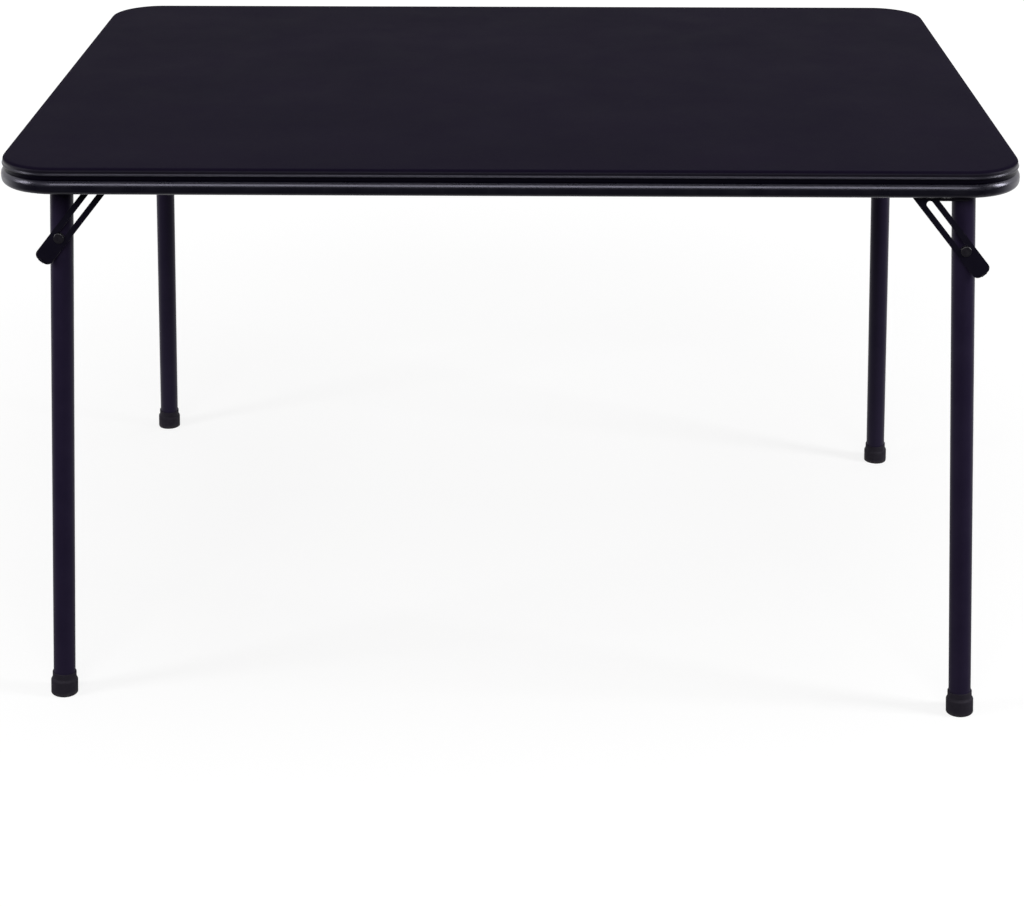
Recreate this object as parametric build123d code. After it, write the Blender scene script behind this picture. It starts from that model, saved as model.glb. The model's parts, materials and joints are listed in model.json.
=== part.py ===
from build123d import *
import math
import os

# Folding card table, in millimetres.
# The origin is on the floor under the middle of the top. X runs along the length,
# the front edge faces -Y and Z points up.

# The whole table
table_length = 1219.0
table_depth = 864.0
table_height = 711.0
corner_radius = 72.0
cut_overrun = 4.0

# The padded top, from its face down to the board
vinyl_thick = 1.2
soft_gap = 0.2
foam_thick = 4.6
board_thick = 8.0
vinyl_inset = 2.0
vinyl_edge_radius = 5.0

# The roll-formed rail round the top: a shelf under the board, a rounded wall and a turned-in lip
rail_height = 18.0
rail_sheet = 1.2
rail_top_bend = 8.0
rail_bottom_bend = 6.0
rail_lip_bend = 1.8
shelf_reach = 16.0
lip_reach = 10.0
lip_height = 5.0

# The screws that hold the rail and the hinge brackets to the board
screw_radius = 1.7
screw_play = 0.05
screw_bite = 4.5
screw_head_radius = 3.2
screw_head_height = 1.9
screw_head_bend = 1.2
rail_screw_reach = 11.6
rail_screws_long_side = 6
rail_screws_short_side = 4

# The legs: two lanes along each long edge let the folded legs lie side by side, and the back
# right leg stands in a deeper one
leg_inset = 71.0
outer_lane = 36.0
inner_lane = 70.0
deep_lane = 160.0
end_splay_share = 0.062
side_splay_share = 0.085
tube_radius = 14.0
tube_wall = 1.2

# The rubber foot on each leg
foot_radius = 17.3
foot_wall = 1.3
foot_height = 30.0
foot_flare_height = 19.0
foot_shoulder = 3.0
foot_sole = 5.0
foot_tread = 1.6
foot_sole_bend = 3.0
foot_lip_bend = 0.6
foot_flare_bend = 4.0
foot_play = 0.1
fold_gap = 0.5

# The hinge bracket: a web screwed to the board and two ears that lean with the leg
ear_play = 0.6
ear_thick = 1.6
ear_radius = 10.0
web_thick = 1.6
web_bend = 3.0
flange_reach = 24.0
flange_hole_margin = 7.0

# The rivet that the leg turns on
pivot_radius = 3.15
pivot_play = 0.06
rivet_head_radius = 6.0
rivet_head_height = 1.8
rivet_head_bend = 1.2
rivet_head_play = 0.2

# The slotted lock brace, riveted to the outer ear, and the rivet that runs in its slot
lock_drop = 70.0
brace_width = 22.4
brace_thick = 2.4
brace_play = 0.3
slot_width = 7.8
slot_play = 0.2
notch_depth = 1.6
tab_length = 37.0
tab_corner_radius = 7.5
tab_lip_height = 2.6
tab_lip_thick = 2.0
lock_head_radius = 6.4
lock_collar_radius = 6.2
ear_pass_play = 0.8
leg_face_play = 0.3

# Heights that follow from the sizes above
board_bottom = table_height - vinyl_thick - soft_gap - foam_thick - board_thick
board_top = board_bottom + board_thick
rail_top = board_bottom
rail_bottom = rail_top - rail_height
pivot_drop = foot_radius + fold_gap
pivot_height = board_bottom - pivot_drop

# Places across a corner, measured outward from the middle of the leg
ear_inner = tube_radius + ear_play
ear_outer = ear_inner + ear_thick
brace_inner = ear_outer + brace_play
brace_outer = brace_inner + brace_thick
lock_shank_radius = slot_width / 2 - slot_play

# The lean of the legs, and how far a leg reaches from its pivot to the floor
side_angle = math.atan(side_splay_share)
end_angle = math.atan(end_splay_share * math.cos(side_angle))
leg_reach = pivot_height / (math.cos(end_angle) * math.cos(side_angle))

# With a leg folded, the collar of its lock rivet lies just past the end of the ear
fold_reach = ear_radius + lock_collar_radius + ear_pass_play
brace_run = lock_drop - fold_reach

# The lock triangle in the plane of a corner: leg pivot, brace pivot and the lock bore in the leg
lock_x = -lock_drop * math.sin(end_angle)
lock_y = -lock_drop * math.cos(end_angle)
rest_reach = math.hypot(lock_x - brace_run, lock_y)
brace_angle = math.degrees(math.atan2(lock_y, lock_x - brace_run))


def slab(inset, low, high, edge_radius=0):
    """A plate of the top's rounded outline, with its upper edge rounded over."""
    outline = RectangleRounded(table_length - 2 * inset, table_depth - 2 * inset, corner_radius - inset)
    body = Pos(0, 0, low) * extrude(outline, amount=high - low)
    if edge_radius > 0:
        body = fillet(body.faces().sort_by(Axis.Z)[-1].edges(), edge_radius)
    return body


def rod(radius, low, high):
    """A round bar along Z between two heights."""
    return Pos(0, 0, low) * extrude(Circle(radius), amount=high - low)


def spun(outer_line, *closing_points):
    """A solid turned about Y from an outer line and the points that close it."""
    return revolve(make_face(outer_line + Polyline(*closing_points)), axis=Axis.Y)


def headed_pin(head_radius, head_height, head_bend, shank_radius, shank_length):
    """A round-headed pin along Z: the head stands above zero and the shank hangs below it."""
    outer_line = FilletPolyline(
        (0, head_height),
        (head_radius, head_height),
        (head_radius, 0),
        (shank_radius, 0),
        radius=[head_bend, 0],
    )
    pin = spun(outer_line, (shank_radius, 0), (shank_radius, -shank_length), (0, -shank_length), (0, head_height))
    return Rot(90, 0, 0) * pin


# The top


def vinyl_cover():
    """The skin over the foam, with a skirt that ends on the rail."""
    skin = slab(vinyl_inset, board_bottom, table_height, vinyl_edge_radius)
    inner = vinyl_inset + vinyl_thick
    room = slab(inner, board_bottom - cut_overrun, table_height - vinyl_thick, vinyl_edge_radius - vinyl_thick)
    return skin - room


def foam_pad():
    inset = vinyl_inset + vinyl_thick + soft_gap
    return slab(inset, board_top, board_top + foam_thick, vinyl_edge_radius - vinyl_thick - soft_gap)


def top_board(screw_places):
    board = slab(vinyl_inset + vinyl_thick + soft_gap, board_bottom, board_top)
    hole = rod(screw_radius + screw_play, -cut_overrun, screw_bite + screw_play)
    return board - [Pos(x, y, board_bottom) * hole for x, y in screw_places]


def rail_section(plane):
    """The rail's bent sheet, drawn outward along the plane's X and up along its Y."""
    inner_lip = lip_reach - rail_sheet
    bends = [rail_top_bend, rail_bottom_bend, rail_lip_bend]
    outer_line = FilletPolyline(
        (-shelf_reach, rail_top),
        (0, rail_top),
        (0, rail_bottom),
        (-lip_reach, rail_bottom),
        (-lip_reach, rail_bottom + lip_height),
        radius=bends,
    )
    inner_line = FilletPolyline(
        (-shelf_reach, rail_top - rail_sheet),
        (-rail_sheet, rail_top - rail_sheet),
        (-rail_sheet, rail_bottom + rail_sheet),
        (-inner_lip, rail_bottom + rail_sheet),
        (-inner_lip, rail_bottom + lip_height),
        radius=[bend - rail_sheet for bend in bends],
    )
    shelf_end = Line((-shelf_reach, rail_top), (-shelf_reach, rail_top - rail_sheet))
    lip_end = Line((-lip_reach, rail_bottom + lip_height), (-inner_lip, rail_bottom + lip_height))
    return plane * make_face(outer_line + inner_line + shelf_end + lip_end)


def frame_rail(screw_places):
    """Four straight runs and four turned corners of one section."""
    parts = []
    for quarter in range(4):
        on_long_side = quarter % 2 == 0
        half_run = (table_length if on_long_side else table_depth) / 2 - corner_radius
        reach = (table_depth if on_long_side else table_length) / 2
        outward = Vector(0, -1, 0).rotate(Axis.Z, 90 * quarter)
        along = outward.cross(Vector(0, 0, 1))
        start = outward * reach - along * half_run
        turn_centre = outward * (reach - corner_radius) - along * half_run
        section = rail_section(Plane(origin=start, x_dir=outward, z_dir=along))
        parts.append(extrude(section, amount=2 * half_run, dir=along))
        parts.append(revolve(section, axis=Axis(turn_centre, (0, 0, 1)), revolution_arc=90))
    rail = parts[0].fuse(*parts[1:])
    hole = rod(screw_radius + screw_play, -rail_sheet - cut_overrun, cut_overrun)
    return rail - [Pos(x, y, rail_top) * hole for x, y in screw_places]


def rail_screw_places():
    """Even rows along the four straight runs of the shelf."""
    places = []
    long_run = table_length - 2 * corner_radius
    short_run = table_depth - 2 * corner_radius
    for side in (-1, 1):
        for k in range(rail_screws_long_side):
            share = k / (rail_screws_long_side - 1) - 1 / 2
            places.append((long_run * share, side * (table_depth / 2 - rail_screw_reach)))
        for k in range(rail_screws_short_side):
            share = k / (rail_screws_short_side - 1) - 1 / 2
            places.append((side * (table_length / 2 - rail_screw_reach), short_run * share))
    return places


def screws(places, sheet):
    """Pan-head screws that point up through a sheet under the board."""
    pin = headed_pin(screw_head_radius, screw_head_height, screw_head_bend, screw_radius, sheet + screw_bite)
    upright = Pos(0, 0, board_bottom - sheet) * Rot(180, 0, 0) * pin
    return Compound([Pos(x, y, 0) * upright for x, y in places])


# A corner, in a frame that leans with its leg: X runs inward along the table, Y up the lean
# and Z outward across it, with the origin on the hinge line


def lane(end, side):
    """How far a leg's pivot lies in from the long edge."""
    if end * side < 0:
        return outer_lane
    return deep_lane if side > 0 else inner_lane


def corner_plane(end, side):
    """The leaning frame of a corner. The two kinds of corner are mirror images in Z."""
    across = table_depth / 2 - lane(end, side)
    pivot = (end * (table_length / 2 - leg_inset), side * across, pivot_height)
    inward = Vector(-end, 0, 0)
    up = Vector(0, -side * math.sin(side_angle), math.cos(side_angle))
    return Plane(origin=pivot, x_dir=inward, z_dir=inward.cross(up))


def seat(piece, end, side):
    """Puts a corner's piece in its place, mirrored where the corner's Z points inward."""
    facing = piece if end * side > 0 else mirror(piece, about=Plane.XY)
    return corner_plane(end, side) * facing


def above_floor(piece):
    """Cuts a piece flat on the floor."""
    pit = Box(2 * table_length, 2 * table_depth, foot_height, align=(Align.CENTER, Align.CENTER, Align.MAX))
    return piece - pit


def along_leg(piece):
    """Leans a piece drawn with the leg straight down."""
    return Rot(0, 0, -math.degrees(end_angle)) * piece


def leg_tube():
    """A steel tube with a rounded top, bored for the pivot rivet and the lock rivet."""
    top = tube_radius
    bottom = foot_sole - leg_reach
    bore = tube_radius - tube_wall
    tube = revolve(make_face(Polyline((bore, bottom), (tube_radius, bottom), (tube_radius, top), (bore, top),
                                      close=True)), axis=Axis.Y)
    width = 2 * tube_radius
    block = Pos(0, bottom / 2, 0) * Box(width, -bottom, width)
    tube = tube & (block + rod(tube_radius, -tube_radius, tube_radius))
    pivot_bore = rod(pivot_radius + pivot_play, -width, width)
    lock_bore = Pos(0, -lock_drop, 0) * rod(lock_shank_radius, 0, width)
    return along_leg(tube - pivot_bore - lock_bore)


def foot_cap():
    """A rubber cup: a thin sleeve over the end of the tube, then a thicker rounded sole."""
    floor_line = -leg_reach
    mouth = floor_line + foot_height
    flare = floor_line + foot_flare_height
    bore = tube_radius + foot_play
    sleeve = bore + foot_wall
    outer_line = FilletPolyline(
        (bore, mouth),
        (sleeve, mouth),
        (sleeve, flare + foot_shoulder),
        (foot_radius, flare),
        (foot_radius, floor_line - foot_tread),
        (0, floor_line - foot_tread),
        radius=[foot_lip_bend, foot_flare_bend, foot_flare_bend, foot_sole_bend],
    )
    sole = floor_line + foot_sole
    cup = spun(outer_line, (0, floor_line - foot_tread), (0, sole), (bore, sole), (bore, mouth))
    return along_leg(cup)


def flange_screw_places(end, side):
    """Four places on the bracket's flange, on the side away from the long edge."""
    pivot = corner_plane(end, side).origin
    near = ear_outer + flange_hole_margin
    far = ear_outer + flange_reach - flange_hole_margin
    return [
        (pivot.X - end * along, pivot.Y - side * across)
        for along in (0, brace_run)
        for across in (near, far)
    ]


def hinge_bracket(end, side):
    """A flat web under the board, with two leaning ears that carry both pivots."""
    pivot = corner_plane(end, side).origin
    web_top = pivot_drop + cut_overrun
    ear_outline = make_hull(
        (Circle(ear_radius) + Pos(brace_run, 0) * Circle(ear_radius)).edges()
        + (Pos(brace_run / 2, web_top - ear_radius / 2) * Rectangle(brace_run + 2 * ear_radius, ear_radius)).edges()
    )
    ear = Pos(0, 0, ear_inner) * extrude(ear_outline, amount=ear_thick)
    ears = seat(ear + mirror(ear, about=Plane.XY), end, side)
    sky = Box(2 * table_length, 2 * table_depth, table_height, align=(Align.CENTER, Align.CENTER, Align.MIN))
    ears = ears - Pos(0, 0, board_bottom) * sky
    # the lean carries the top of the ears inward from the long edge
    slant = pivot_drop * math.tan(side_angle)
    outer_side = ear_outer * math.cos(side_angle) - slant
    inner_side = ear_outer + flange_reach
    web = RectangleRounded(brace_run + 2 * ear_radius, outer_side + inner_side, web_bend)
    web_place = (pivot.X - end * brace_run / 2, pivot.Y + side * (outer_side - inner_side) / 2)
    plate = Pos(*web_place, board_bottom - web_thick) * extrude(web, amount=web_thick)
    bracket = ears.fuse(plate)
    hole = rod(screw_radius + screw_play, board_bottom - 2 * web_thick, board_bottom + web_thick)
    bracket = bracket - [Pos(x, y, 0) * hole for x, y in flange_screw_places(end, side)]
    pivot_hole = rod(pivot_radius + pivot_play, -2 * ear_outer, 2 * ear_outer)
    brace_hole = Pos(brace_run, 0, 0) * rod(pivot_radius + pivot_play, ear_inner - ear_thick, 2 * ear_outer)
    return bracket - [seat(pivot_hole, end, side), seat(brace_hole, end, side)]


def leg_pivot_rivet():
    """Through both ears and the leg, with a round head at each end."""
    half_grip = ear_outer + rivet_head_play
    pin = headed_pin(rivet_head_radius, rivet_head_height, rivet_head_bend, pivot_radius, half_grip)
    half = Pos(0, 0, half_grip) * pin
    return half + mirror(half, about=Plane.XY)


def brace_pivot_rivet():
    """From the outer ear through the brace, peened flush inside so that the leg folds past."""
    grip = brace_outer + rivet_head_play - ear_inner
    pin = headed_pin(rivet_head_radius, rivet_head_height, rivet_head_bend, pivot_radius, grip)
    return Pos(brace_run, 0, brace_outer + rivet_head_play) * pin


def along_brace(piece):
    """Turns a piece drawn with the brace pointing inward to the brace's place with the leg out."""
    return Pos(brace_run, 0, 0) * Rot(0, 0, brace_angle) * piece


def lock_brace():
    """A strap with a long slot, a lock notch at its end and a release tab with a turned-up lip."""
    half_width = brace_width / 2
    half_slot = slot_width / 2
    tip = rest_reach + tab_length
    tail = Circle(half_width)
    shaft = Pos(tip / 2, 0) * Rectangle(tip, brace_width)
    strap = fillet((tail + shaft).vertices().group_by(Axis.X)[-1], tab_corner_radius)
    slot_run = rest_reach - fold_reach
    slot = Pos(fold_reach + slot_run / 2, 0) * SlotCenterToCenter(slot_run, slot_width)
    notch = Pos(rest_reach - half_slot, -notch_depth) * Circle(half_slot)
    bore = Circle(pivot_radius + pivot_play)
    plate = Pos(0, 0, brace_inner) * extrude(strap - slot - notch - bore, amount=brace_thick)
    lip_length = brace_width - 2 * tab_corner_radius
    lip = Pos(tip - tab_lip_thick / 2, 0, brace_inner) * extrude(
        Rectangle(tab_lip_thick, lip_length), amount=brace_thick + tab_lip_height
    )
    lip = fillet(lip.faces().sort_by(Axis.Z)[-1].edges().filter_by(Axis.Y), tab_lip_thick / 3)
    return along_brace(plate + lip)


def lock_rivet():
    """A shouldered rivet in the slot, its neck against the leg and a head outside the brace."""
    head_seat = brace_outer + rivet_head_play
    neck = tube_radius + leg_face_play
    collar_top = brace_inner - rivet_head_play
    pin = headed_pin(lock_head_radius, rivet_head_height, rivet_head_bend, lock_shank_radius, head_seat - neck)
    rivet = Pos(0, 0, head_seat) * pin + rod(lock_collar_radius, neck, collar_top)
    return along_brace(Pos(rest_reach, 0, 0) * rivet)


def save(name, shape):
    shape.label = name
    export_step(shape, os.path.join("parts", name + ".step"))


def main():
    os.makedirs("parts", exist_ok=True)
    corners = {
        "front_left": (-1, -1),
        "front_right": (1, -1),
        "back_left": (-1, 1),
        "back_right": (1, 1),
    }
    rail_places = rail_screw_places()
    bracket_places = [place for corner in corners.values() for place in flange_screw_places(*corner)]
    save("vinyl_cover", vinyl_cover())
    save("foam_pad", foam_pad())
    save("top_board", top_board(rail_places + bracket_places))
    save("frame_rail", frame_rail(rail_places))
    save("rail_screws", screws(rail_places, rail_sheet))
    save("bracket_screws", screws(bracket_places, web_thick))
    for name, corner in corners.items():
        save(name + "_hinge_bracket", hinge_bracket(*corner))
        save(name + "_leg_pivot_rivet", seat(leg_pivot_rivet(), *corner))
        save(name + "_leg_tube", seat(leg_tube(), *corner))
        save(name + "_foot_cap", above_floor(seat(foot_cap(), *corner)))
        save(name + "_lock_brace", seat(lock_brace(), *corner))
        save(name + "_brace_pivot_rivet", seat(brace_pivot_rivet(), *corner))
        save(name + "_lock_rivet", seat(lock_rivet(), *corner))


main()
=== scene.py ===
import json
import math
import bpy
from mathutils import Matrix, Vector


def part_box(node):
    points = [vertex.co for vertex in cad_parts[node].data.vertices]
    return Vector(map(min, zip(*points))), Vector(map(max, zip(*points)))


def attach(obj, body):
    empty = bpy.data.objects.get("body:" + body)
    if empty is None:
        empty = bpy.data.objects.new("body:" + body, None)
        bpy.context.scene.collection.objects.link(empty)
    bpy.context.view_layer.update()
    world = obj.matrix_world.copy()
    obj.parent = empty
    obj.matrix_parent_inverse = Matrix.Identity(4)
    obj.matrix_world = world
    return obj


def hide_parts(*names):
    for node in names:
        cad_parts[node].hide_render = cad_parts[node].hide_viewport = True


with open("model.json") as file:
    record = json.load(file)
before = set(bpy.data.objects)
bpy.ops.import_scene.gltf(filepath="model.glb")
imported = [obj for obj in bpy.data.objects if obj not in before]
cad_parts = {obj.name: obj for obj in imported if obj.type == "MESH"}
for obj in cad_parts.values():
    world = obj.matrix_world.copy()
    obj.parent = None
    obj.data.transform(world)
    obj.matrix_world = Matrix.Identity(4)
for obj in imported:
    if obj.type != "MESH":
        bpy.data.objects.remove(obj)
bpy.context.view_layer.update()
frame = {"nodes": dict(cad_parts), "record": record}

from types import SimpleNamespace as Values

import bmesh
import bpy
from mathutils import Matrix, Vector

# Lengths in metres
MM = 0.001

# The photograph and the camera that matches it
PHOTO_WIDTH_PX = 1024
FOCAL_PX = 2173.4
SENSOR_WIDTH_MM = 36.0
CAMERA_PLACE = Vector((0.0372, -2.8749, 1.4521))
CAMERA_PITCH = 0.4237
CAMERA_YAW = 0.0134

# The padded top: a roll at its edge, a valley below the roll, a welt and a groove over the rail
CORNER_RADIUS = 72 * MM
SKIRT_INSET = 2 * MM
ROLL_RADIUS = 4.6 * MM
ROLL_INSET = 1.2 * MM
ROLL_START = -15
ROLL_END = 85
WELT_RADIUS = 1.2 * MM
WELT_DROP = 8.6 * MM
WELT_TURN = 70
GROOVE_INSET = 1.1 * MM
CROWN_DROP = 0.12 * MM

# The rings of its face inside the roll, as shares of the way to a flat face
FACE_RUN = CORNER_RADIUS / 2
FACE_SHARES = (0.15, 0.35, 0.6, 1.0)

# Steps of its mesh
ARC_STEPS = 7
CORNER_STEPS = 20
LONG_STEPS = 36
SHORT_STEPS = 26
WELD_DISTANCE = 0.05 * MM

# The faint unevenness of vinyl over foam. Rates are radians per metre.
WAVE_HEIGHT = 0.05 * MM
CROSSED_WAVE = Values(rate_x=11.0, phase_x=1.3, rate_y=13.0, phase_y=0.4)
SLANTED_WAVES = (
    Values(share=0.6, rate_x=23.0, rate_y=7.0, phase=0.0),
    Values(share=0.4, rate_x=-9.0, rate_y=31.0, phase=2.0),
)

# Heights at which the vinyl's finish changes
TOP_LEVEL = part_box("vinyl_cover")[1][2]
ROLL_LEVEL = TOP_LEVEL - 2.0 * MM
SIDE_LEVEL = TOP_LEVEL - 6.0 * MM
WELT_LEVEL = TOP_LEVEL - WELT_DROP
GROOVE_LEVEL = WELT_LEVEL - WELT_RADIUS

# Materials: a texture is its scale per metre and its detail, a relief its strength and its depth,
# a range the part of a texture's values that is used
SHEEN_TINT = (0.84, 0.82, 1.0, 1.0)
MIDDLE = (0.3, 0.7)
VINYL = Values(
    dark=(0.0050, 0.0034, 0.0104), light=(0.0071, 0.0049, 0.0130),
    # side is a darker colour laid on the vinyl's edge band below the roll, as painted shade
    pore=(0.006, 0.005, 0.009), rubbed=(0.040, 0.036, 0.050), side=(0.0020, 0.0016, 0.0045),
    cloud=(7.0, 3.0), matte=(14.0, 5.0), grain=(240.0, 3.0),
    pore_scale=620.0, pore_range=(0.02, 0.30),
    rub=(60.0, 4.0), rub_range=(0.45, 0.65), rub_radius=1.6 * MM, rub_share=0.3,
    # How strong the painted shade is on the side band's colour and on the groove's gloss, and how much
    # smoother the side is
    side_share=0.8, side_smoothness=0.22, groove_dulling=0.2,
    roughness=(0.55, 0.61), gloss=(0.008, 0.46),
    grain_relief=(0.20, 0.3 * MM), pore_relief=(0.35, 0.12 * MM),
)
COAT = Values(
    bare=(0.16, 0.155, 0.16), cloud=(22.0, 4.0), gloss=(35.0, 5.0),
    rub=(130.0, 5.0), rub_range=(0.48, 0.66), rub_radius=0.7 * MM,
    smoother=0.05, rougher=0.07,
    scratch_scale=(420.0, 420.0, 26.0), scratch_texture=(1.0, 6.0, 0.7),
    scratch_range=(0.60, 0.72), scratch_dulling=0.16,
    peel=(420.0, 2.0), peel_relief=(0.10, 0.08 * MM),
    grain=(1500.0, 2.0), grain_relief=(0.05, 0.03 * MM),
)
COATS = {
    "rail_paint": Values(
        dark=(0.0008, 0.0005, 0.0038), light=(0.0018, 0.0013, 0.0062),
        sheen=0.82, roughness=0.29, bare_share=0.25),
    "leg_paint": Values(
        dark=(0.0152, 0.0107, 0.0290), light=(0.0200, 0.0146, 0.0358),
        sheen=0.12, roughness=0.36, bare_share=0.25),
    "bracket_paint": Values(
        dark=(0.0070, 0.0052, 0.0120), light=(0.0100, 0.0078, 0.0155),
        sheen=0.38, roughness=0.40, bare_share=0.35),
    "brace_paint": Values(
        dark=(0.0034, 0.0026, 0.0078), light=(0.0064, 0.0050, 0.0122),
        sheen=0.20, roughness=0.36, bare_share=0.50),
}
RUBBER = Values(
    dark=(0.0120, 0.0095, 0.0165), light=(0.0215, 0.0180, 0.0280), dust=(0.10, 0.095, 0.09),
    cloud=(90.0, 4.0), dust_texture=(300.0, 6.0), matte=(160.0, 4.0),
    dust_height=(0.5 * MM, 7 * MM), dust_amount=(0.1, 0.9), dust_range=(0.4, 0.62), dust_share=0.5,
    roughness=(0.62, 0.82), sheen=0.20,
    pits=(1400.0, 3.0), pit_relief=(0.30, 0.06 * MM),
    swell=(180.0, 4.0), swell_relief=(0.20, 0.15 * MM),
)
ZINC = Values(
    dark=(0.40, 0.40, 0.42), light=(0.58, 0.57, 0.55),
    cloud=(260.0, 4.0), matte=(500.0, 5.0), roughness=(0.28, 0.50),
    grain=(2200.0, 2.0), grain_relief=(0.20, 0.03 * MM),
)
RIVET = Values(
    dark=(0.006, 0.005, 0.009), light=(0.012, 0.010, 0.016), bare=(0.16, 0.16, 0.17),
    cloud=(300.0, 4.0), matte=(260.0, 4.0), roughness=(0.24, 0.40), sheen=0.6,
    rub=(420.0, 4.0), rub_range=(0.42, 0.60), rub_radius=0.8 * MM, rub_share=0.5,
    grain=(900.0, 3.0), grain_relief=(0.18, 0.05 * MM),
)
BOARD = Values(
    dark=(0.095, 0.058, 0.034), light=(0.19, 0.125, 0.075), stain=(0.085, 0.052, 0.031),
    fibre_scale=(240.0, 900.0, 240.0), fibre_texture=(1.0, 8.0, 0.7),
    patch=(11.0, 4.0), patch_share=0.45, patch_range=(0.35, 0.7),
    roughness=(0.66, 0.86), sheen=0.3,
    screen_scale=430.0, screen_regularity=0.15, screen_relief=(0.35, 0.15 * MM),
    fibre_relief=(0.35, 0.12 * MM),
)

# Where an edge counts as rubbed: how far the rounded normal leaves the true one, as a cosine
EDGE_COSINES = (0.80, 0.985)

# The floor: it is lifted to white for the camera and for reflections of the backdrop
FLOOR_REACH = 14.0
FLOOR_FADE = (0.9, 3.2)
FLOOR_TONE = 0.22
FLOOR_TONE_REFLECTED = 0.06
FLOOR_GLOW = 0.81
FLOOR_ROUGHNESS = 0.9

# The room behind the camera stays dim in reflections: where along the depth it gives way to white
ROOM_SIDE = (-0.15, 0.25)
ROOM_FLOOR = (-1.0, 0.6)

# The world's light on all but the camera, and the lamps. Sizes in metres, powers in watts.
WORLD_FILL = 0.13
LAMPS = (
    Values(
        name="overhead", place=(0.0, 0.2, 3.0), target=(0.0, 0.0, 0.5),
        size=(2.6, 2.0), power=30.0),
    Values(
        name="front_box", place=(0.0, -5.4, 3.9), target=(0.0, -0.4, 0.7),
        size=(5.0, 2.6), power=170.0),
    Values(
        name="left_box", place=(-3.0, -1.2, 1.9), target=(0.0, -0.2, 0.5),
        size=(0.7, 1.4), power=38.0),
    Values(
        name="right_box", place=(3.0, -0.8, 1.8), target=(0.0, -0.2, 0.5),
        size=(0.7, 1.4), power=58.0),
)


# Node helpers


class Nodes:
    """Short calls that add nodes to a tree."""

    def __init__(self, tree):
        self.nodes = tree.nodes
        self.links = tree.links

    def feed(self, node, values):
        """Sets sockets by name, or links them where the value is another node's output."""
        for socket, value in values.items():
            if isinstance(value, bpy.types.NodeSocket):
                self.links.new(value, node.inputs[socket])
            else:
                node.inputs[socket].default_value = value

    def span(self, value, low, high, start=0.0, end=1.0):
        """value from start..end laid onto low..high, held at the ends."""
        node = self.nodes.new("ShaderNodeMapRange")
        self.feed(node, {"Value": value, "From Min": start, "From Max": end, "To Min": low, "To Max": high})
        return node.outputs["Result"]

    def math(self, operation, first, second):
        node = self.nodes.new("ShaderNodeMath")
        node.operation = operation
        self.feed(node, {0: first, 1: second})
        return node.outputs["Value"]

    def axis(self, vector, letter):
        split = self.nodes.new("ShaderNodeSeparateXYZ")
        self.feed(split, {"Vector": vector})
        return split.outputs[letter]

    def background_rays(self, place, room):
        """1 for camera rays, and for glossy and transmission rays on the backdrop's side."""
        path = self.nodes.new("ShaderNodeLightPath").outputs
        through = self.math("MAXIMUM", path["Is Glossy Ray"], path["Is Transmission Ray"])
        shown = self.math("MULTIPLY", through, self.span(self.axis(place, "Y"), 0.0, 1.0, *room))
        return self.math("MAXIMUM", path["Is Camera Ray"], shown)


class Finish(Nodes):
    """A material with a principled shader, and short calls that texture it."""

    def __init__(self, name):
        self.material = bpy.data.materials.new(name)
        self.material.use_nodes = True
        super().__init__(self.material.node_tree)
        self.shader = self.nodes["Principled BSDF"]
        self.place = self.nodes.new("ShaderNodeTexCoord").outputs["Object"]

    def set(self, **sockets):
        self.feed(self.shader, {socket.replace("_", " "): value for socket, value in sockets.items()})

    def stretched(self, scale):
        mapping = self.nodes.new("ShaderNodeMapping")
        self.feed(mapping, {"Vector": self.place, "Scale": scale})
        return mapping.outputs["Vector"]

    def noise(self, scale, detail=4.0, roughness=0.55, vector=None):
        node = self.nodes.new("ShaderNodeTexNoise")
        vector = vector or self.place
        self.feed(node, {"Vector": vector, "Scale": scale, "Detail": detail, "Roughness": roughness})
        return node.outputs["Fac"]

    def cells(self, scale, randomness=1.0):
        node = self.nodes.new("ShaderNodeTexVoronoi")
        node.feature = "SMOOTH_F1"
        self.feed(node, {"Vector": self.place, "Scale": scale, "Randomness": randomness})
        return node.outputs["Distance"]

    def mix(self, factor, first, second):
        node = self.nodes.new("ShaderNodeMix")
        node.data_type = "RGBA"
        self.feed(node, {"Factor": factor})
        colours = [s for s in node.inputs if s.type == "RGBA"]
        for socket, value in zip(colours, (first, second)):
            if isinstance(value, tuple):
                socket.default_value = (*value, 1.0)
            else:
                self.links.new(value, socket)
        return [s for s in node.outputs if s.type == "RGBA"][0]

    def bump(self, height, relief, below=None):
        strength, distance = relief
        node = self.nodes.new("ShaderNodeBump")
        self.feed(node, {"Height": height, "Strength": strength, "Distance": distance})
        if below:
            self.links.new(below, node.inputs["Normal"])
        return node.outputs["Normal"]

    def edges(self, radius):
        """1 on convex edges that rub bare, 0 on flats."""
        bevel = self.nodes.new("ShaderNodeBevel")
        self.feed(bevel, {"Radius": radius})
        geometry = self.nodes.new("ShaderNodeNewGeometry")
        dot = self.nodes.new("ShaderNodeVectorMath")
        dot.operation = "DOT_PRODUCT"
        self.feed(dot, {0: bevel.outputs["Normal"], 1: geometry.outputs["True Normal"]})
        return self.span(dot.outputs["Value"], 1.0, 0.0, *EDGE_COSINES)

    def rubbed(self, radius, texture, used):
        """How bare an edge is rubbed, in patches."""
        return self.math("MULTIPLY", self.edges(radius), self.span(self.noise(*texture), 0.0, 1.0, *used))

    def height(self):
        """How high the point lies above the floor at rest."""
        return self.axis(self.place, "Z")


# Materials


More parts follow.
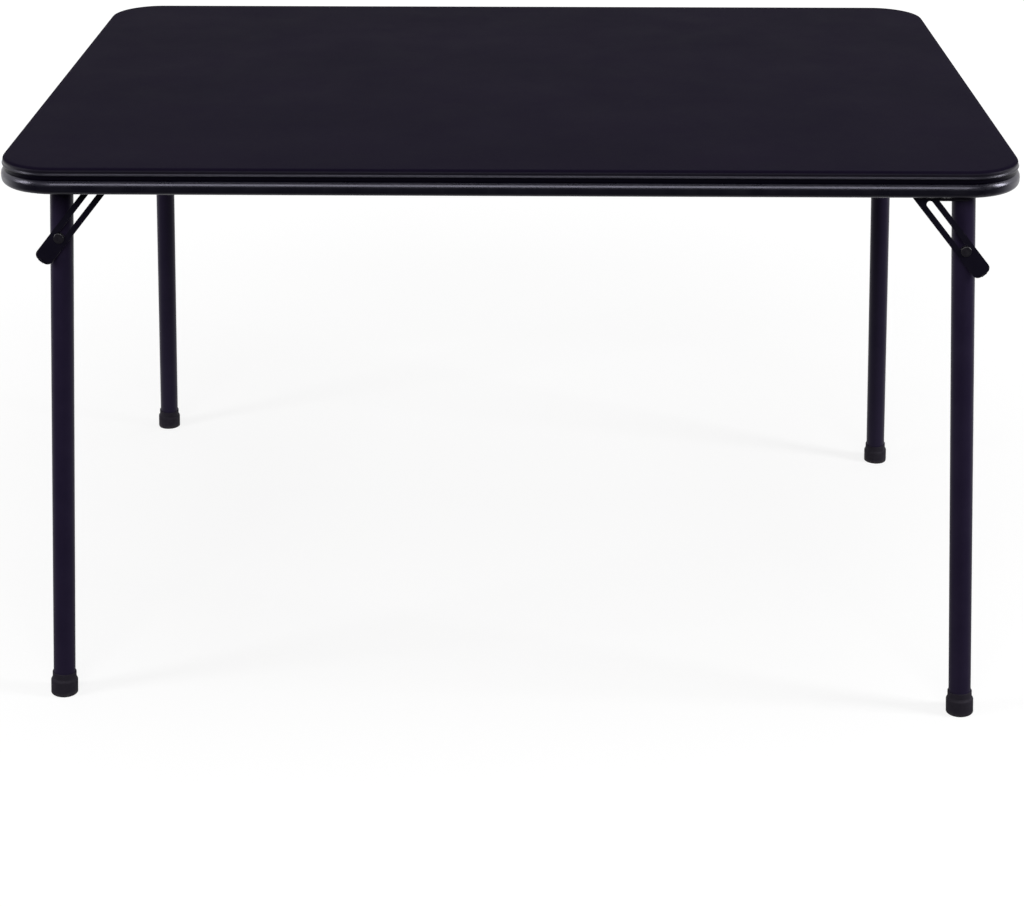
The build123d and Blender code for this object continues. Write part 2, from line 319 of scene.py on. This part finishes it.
def vinyl(v):
    """Matte grained vinyl, navy-black, a little cloudy, faintly polished where arms rest; its side band
    below the roll is darkened and its groove's gloss is cut, both as painted shade.
    """
    f = Finish("vinyl")
    colour = f.mix(f.span(f.noise(*v.cloud), 0.0, 1.0, *MIDDLE), v.dark, v.light)
    pores = f.span(f.cells(v.pore_scale), 0.0, 1.0, *v.pore_range)
    colour = f.mix(pores, v.pore, colour)
    rub = f.rubbed(v.rub_radius, v.rub, v.rub_range)
    colour = f.mix(f.math("MULTIPLY", rub, v.rub_share), colour, v.rubbed)
    # The edge band below the roll is mixed towards the darker side colour: painted shade.
    side = f.span(f.height(), 1.0, 0.0, SIDE_LEVEL, ROLL_LEVEL)
    colour = f.mix(f.math("MULTIPLY", side, v.side_share), colour, v.side)
    matte = f.span(f.noise(*v.matte), *v.roughness, *MIDDLE)
    matte = f.math("SUBTRACT", matte, f.math("MULTIPLY", side, v.side_smoothness))
    grain = f.bump(f.noise(*v.grain), v.grain_relief)
    # Below the welt the gloss is cut down towards the groove: painted shade in the groove.
    dull = f.span(f.height(), v.groove_dulling, 1.0, GROOVE_LEVEL, WELT_LEVEL)
    gloss = f.math("MULTIPLY", f.span(side, *v.gloss), dull)
    f.set(Base_Color=colour, Roughness=matte, Normal=f.bump(pores, v.pore_relief, grain))
    f.set(Specular_IOR_Level=gloss, Specular_Tint=SHEEN_TINT)
    return f.material


def powder_coat(name, coat):
    """Baked paint on steel: a fine orange peel, clouded gloss and rubbed edges."""
    f = Finish(name)
    v = COAT
    colour = f.mix(f.span(f.noise(*v.cloud), 0.0, 1.0, *MIDDLE), coat.dark, coat.light)
    rub = f.rubbed(v.rub_radius, v.rub, v.rub_range)
    colour = f.mix(f.math("MULTIPLY", rub, coat.bare_share), colour, v.bare)
    low, high = coat.roughness - v.smoother, coat.roughness + v.rougher
    cloud = f.span(f.noise(*v.gloss), low, high, *MIDDLE)
    scratches = f.noise(*v.scratch_texture, f.stretched(v.scratch_scale))
    scuffs = f.span(scratches, 0.0, v.scratch_dulling, *v.scratch_range)
    peel = f.bump(f.noise(*v.peel), v.peel_relief)
    normal = f.bump(f.noise(*v.grain), v.grain_relief, peel)
    f.set(Base_Color=colour, Roughness=f.math("ADD", cloud, scuffs), Normal=normal)
    f.set(Specular_IOR_Level=coat.sheen, Specular_Tint=SHEEN_TINT)
    return f.material


def rubber(v):
    """Moulded rubber, with a dusty sole and fine pitting."""
    f = Finish("foot_rubber")
    colour = f.mix(f.noise(*v.cloud), v.dark, v.light)
    low = f.span(f.height(), 1.0, 0.0, *v.dust_height)
    dust = f.math("MULTIPLY", low, f.span(f.noise(*v.dust_texture), *v.dust_amount, *v.dust_range))
    colour = f.mix(f.math("MULTIPLY", dust, v.dust_share), colour, v.dust)
    matte = f.span(f.noise(*v.matte), *v.roughness, *MIDDLE)
    pits = f.bump(f.noise(*v.pits), v.pit_relief)
    normal = f.bump(f.noise(*v.swell), v.swell_relief, pits)
    f.set(Base_Color=colour, Roughness=matte, Normal=normal, Specular_IOR_Level=v.sheen)
    return f.material


def plated_steel(v):
    """Zinc-plated screws: bright metal with a fine drawn grain and dull patches."""
    f = Finish("screw_steel")
    colour = f.mix(f.noise(*v.cloud), v.dark, v.light)
    matte = f.span(f.noise(*v.matte), *v.roughness, *MIDDLE)
    normal = f.bump(f.noise(*v.grain), v.grain_relief)
    f.set(Base_Color=colour, Roughness=matte, Normal=normal, Metallic=1.0)
    return f.material


def dark_rivet(v):
    """Blackened steel rivet heads, rubbed bright where they stand proud."""
    f = Finish("rivet_steel")
    rub = f.rubbed(v.rub_radius, v.rub, v.rub_range)
    colour = f.mix(f.noise(*v.cloud), v.dark, v.light)
    colour = f.mix(f.math("MULTIPLY", rub, v.rub_share), colour, v.bare)
    matte = f.span(f.noise(*v.matte), *v.roughness, *MIDDLE)
    normal = f.bump(f.noise(*v.grain), v.grain_relief)
    f.set(Base_Color=colour, Roughness=matte, Normal=normal, Specular_IOR_Level=v.sheen)
    return f.material


def pressed_board(v):
    """Brown hardboard: pressed fibres over a screen-patterned back."""
    f = Finish("board")
    fibres = f.noise(*v.fibre_texture, f.stretched(v.fibre_scale))
    colour = f.mix(f.span(fibres, 0.0, 1.0, *MIDDLE), v.dark, v.light)
    patch = f.span(f.noise(*v.patch), 0.0, v.patch_share, *v.patch_range)
    colour = f.mix(patch, colour, v.stain)
    matte = f.span(fibres, *v.roughness, *MIDDLE)
    screen = f.bump(f.cells(v.screen_scale, v.screen_regularity), v.screen_relief)
    normal = f.bump(fibres, v.fibre_relief, screen)
    f.set(Base_Color=colour, Roughness=matte, Normal=normal, Specular_IOR_Level=v.sheen)
    return f.material


def paint(node, material):
    """Gives every slot of a CAD node one material."""
    mesh_object = frame["nodes"][node]
    if not mesh_object.material_slots:
        mesh_object.data.materials.append(material)
    for slot in mesh_object.material_slots:
        slot.material = material


def finish_frame(materials):
    """The carried-over nodes, each in the finish of its record slot."""
    for row in frame["record"]["subparts"]:
        paint(row["node"], materials[row["material_slot"]])


# The padded top


def arc(centre_inset, centre_drop, radius, start, end):
    """Profile points round an arc. Angles are degrees above straight outward."""
    points = []
    for k in range(ARC_STEPS + 1):
        angle = math.radians(start + (end - start) * k / ARC_STEPS)
        points.append((centre_inset - radius * math.cos(angle), centre_drop - radius * math.sin(angle)))
    return points


def edge_profile(depth):
    """(inset, drop below the top face) from the rail up over the groove, the welt and the roll."""
    groove_top = WELT_DROP + WELT_RADIUS
    profile = [(GROOVE_INSET, depth), (GROOVE_INSET, groove_top)]
    profile += arc(WELT_RADIUS, WELT_DROP, WELT_RADIUS, -WELT_TURN, WELT_TURN)
    profile += arc(ROLL_INSET + ROLL_RADIUS, ROLL_RADIUS, ROLL_RADIUS, ROLL_START, ROLL_END)
    last_inset, last_drop = profile[-1]
    for share in FACE_SHARES:
        profile.append((last_inset + share * FACE_RUN, last_drop + share * (CROWN_DROP - last_drop)))
    return profile


def outline_ring(half_x, half_y, radius):
    """Points round a rounded rectangle, from its right front corner on."""
    corners = ((1, -1, -90), (1, 1, 0), (-1, 1, 90), (-1, -1, 180))

    def on_corner(corner, k):
        side_x, side_y, start = corner
        angle = math.radians(start + 90 * k / CORNER_STEPS)
        centre = Vector((side_x * (half_x - radius), side_y * (half_y - radius)))
        return centre + radius * Vector((math.cos(angle), math.sin(angle)))

    ring = []
    for i, corner in enumerate(corners):
        ring += [on_corner(corner, k) for k in range(CORNER_STEPS + 1)]
        last = ring[-1]
        first = on_corner(corners[(i + 1) % 4], 0)
        steps = SHORT_STEPS if i % 2 == 0 else LONG_STEPS
        ring += [last.lerp(first, k / steps) for k in range(1, steps)]
    return ring


def soft_drop(x, y):
    """How far the padded face lies below the CAD face at a point of its middle."""
    w = CROSSED_WAVE
    wave = math.sin(w.rate_x * x + w.phase_x) * math.sin(w.rate_y * y + w.phase_y)
    for w in SLANTED_WAVES:
        wave += w.share * math.sin(w.rate_x * x + w.rate_y * y + w.phase)
    return CROWN_DROP + WAVE_HEIGHT * wave


def add_object(name, mesh):
    """The mesh as an object in the scene."""
    data = bpy.data.meshes.new(name)
    mesh.to_mesh(data)
    mesh.free()
    mesh_object = bpy.data.objects.new(name, data)
    bpy.context.scene.collection.objects.link(mesh_object)
    return mesh_object


def padded_top():
    """The vinyl over its foam, with a rolled bead along the edge, in the space of the CAD cover."""
    low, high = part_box("vinyl_cover")
    half_x = (high[0] - low[0]) / 2
    half_y = (high[1] - low[1]) / 2
    top = high[2]
    radius = CORNER_RADIUS - SKIRT_INSET
    inner_x = half_x - radius
    inner_y = half_y - radius
    mesh = bmesh.new()
    rings = []
    for inset, drop in edge_profile(top - low[2]):
        points = outline_ring(half_x - inset, half_y - inset, radius - inset)
        rings.append([mesh.verts.new((p.x, p.y, top - drop)) for p in points])
    points = outline_ring(inner_x, inner_y, 0.0)
    rings.append([mesh.verts.new((p.x, p.y, top - soft_drop(p.x, p.y))) for p in points])
    for lower, upper in zip(rings, rings[1:]):
        for k in range(len(lower)):
            after = (k + 1) % len(lower)
            mesh.faces.new((lower[k], lower[after], upper[after], upper[k]))
    grid = []
    for j in range(SHORT_STEPS + 1):
        y = inner_y * (2 * j / SHORT_STEPS - 1)
        across = [inner_x * (2 * i / LONG_STEPS - 1) for i in range(LONG_STEPS + 1)]
        grid.append([mesh.verts.new((x, y, top - soft_drop(x, y))) for x in across])
    for front, back in zip(grid, grid[1:]):
        for i in range(LONG_STEPS):
            mesh.faces.new((front[i], front[i + 1], back[i + 1], back[i]))
    bmesh.ops.remove_doubles(mesh, verts=mesh.verts, dist=WELD_DISTANCE)
    bmesh.ops.recalc_face_normals(mesh, faces=mesh.faces)
    piece = add_object("padded_top", mesh)
    for polygon in piece.data.polygons:
        polygon.use_smooth = True
    smooth = piece.modifiers.new("smooth", "SUBSURF")
    smooth.levels = 1
    smooth.render_levels = 1
    return piece


# Stage, light and camera


def white_floor():
    """A pale floor that keeps the shadow near the table and lifts to white further out."""
    mesh = bmesh.new()
    bmesh.ops.create_grid(mesh, x_segments=1, y_segments=1, size=FLOOR_REACH)
    floor = add_object("floor", mesh)
    f = Finish("floor")
    shown = f.background_rays(f.place, ROOM_FLOOR)
    f.set(Roughness=FLOOR_ROUGHNESS, Specular_IOR_Level=0.0)
    f.set(Base_Color=f.span(shown, FLOOR_TONE_REFLECTED, FLOOR_TONE))
    away = f.nodes.new("ShaderNodeVectorMath")
    away.operation = "LENGTH"
    f.feed(away, {0: f.place})
    fade = f.span(away.outputs["Value"], FLOOR_GLOW, 1.0, *FLOOR_FADE)
    glow = f.nodes.new("ShaderNodeEmission")
    f.feed(glow, {"Strength": f.math("MULTIPLY", fade, shown)})
    both = f.nodes.new("ShaderNodeAddShader")
    f.feed(both, {0: f.shader.outputs["BSDF"], 1: glow.outputs["Emission"]})
    f.feed(f.nodes["Material Output"], {"Surface": both.outputs["Shader"]})
    floor.data.materials.append(f.material)


def world_light():
    """White to the camera and to reflections of the backdrop, plain soft grey to the rest."""
    world = bpy.data.worlds.new("world")
    world.use_nodes = True
    bpy.context.scene.world = world
    n = Nodes(world.node_tree)
    way = n.nodes.new("ShaderNodeTexCoord").outputs["Generated"]
    strength = n.span(n.background_rays(way, ROOM_SIDE), WORLD_FILL, 1.0)
    n.feed(n.nodes["Background"], {"Color": (1.0, 1.0, 1.0, 1.0), "Strength": strength})


def soft_box(box):
    lamp = bpy.data.lights.new(box.name, "AREA")
    lamp.shape = "RECTANGLE"
    lamp.size, lamp.size_y = box.size
    lamp.energy = box.power
    lamp_object = bpy.data.objects.new(box.name, lamp)
    bpy.context.scene.collection.objects.link(lamp_object)
    lamp_object.location = box.place
    aim = Vector(box.target) - Vector(box.place)
    lamp_object.rotation_euler = aim.to_track_quat("-Z", "Y").to_euler()


def photo_camera():
    data = bpy.data.cameras.new("photo_camera")
    data.sensor_fit = "HORIZONTAL"
    data.sensor_width = SENSOR_WIDTH_MM
    data.lens = SENSOR_WIDTH_MM * FOCAL_PX / PHOTO_WIDTH_PX
    camera = bpy.data.objects.new("photo_camera", data)
    bpy.context.scene.collection.objects.link(camera)
    turn = Matrix.Rotation(CAMERA_YAW, 4, "Z")
    tilt = Matrix.Rotation(math.pi / 2 - CAMERA_PITCH, 4, "X")
    camera.matrix_world = Matrix.Translation(CAMERA_PLACE) @ turn @ tilt
    bpy.context.scene.camera = camera


def build():
    materials = {name: powder_coat(name, coat) for name, coat in COATS.items()}
    materials["vinyl"] = materials["foam"] = vinyl(VINYL)
    materials["foot_rubber"] = rubber(RUBBER)
    materials["screw_steel"] = plated_steel(ZINC)
    materials["rivet_steel"] = dark_rivet(RIVET)
    materials["board"] = pressed_board(BOARD)
    finish_frame(materials)
    top = padded_top()
    top.data.materials.append(materials["vinyl"])
    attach(top, "top")
    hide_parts("vinyl_cover", "foam_pad")
    white_floor()
    world_light()
    for box in LAMPS:
        soft_box(box)
    photo_camera()
    bpy.context.scene.view_settings.view_transform = "Standard"


build()
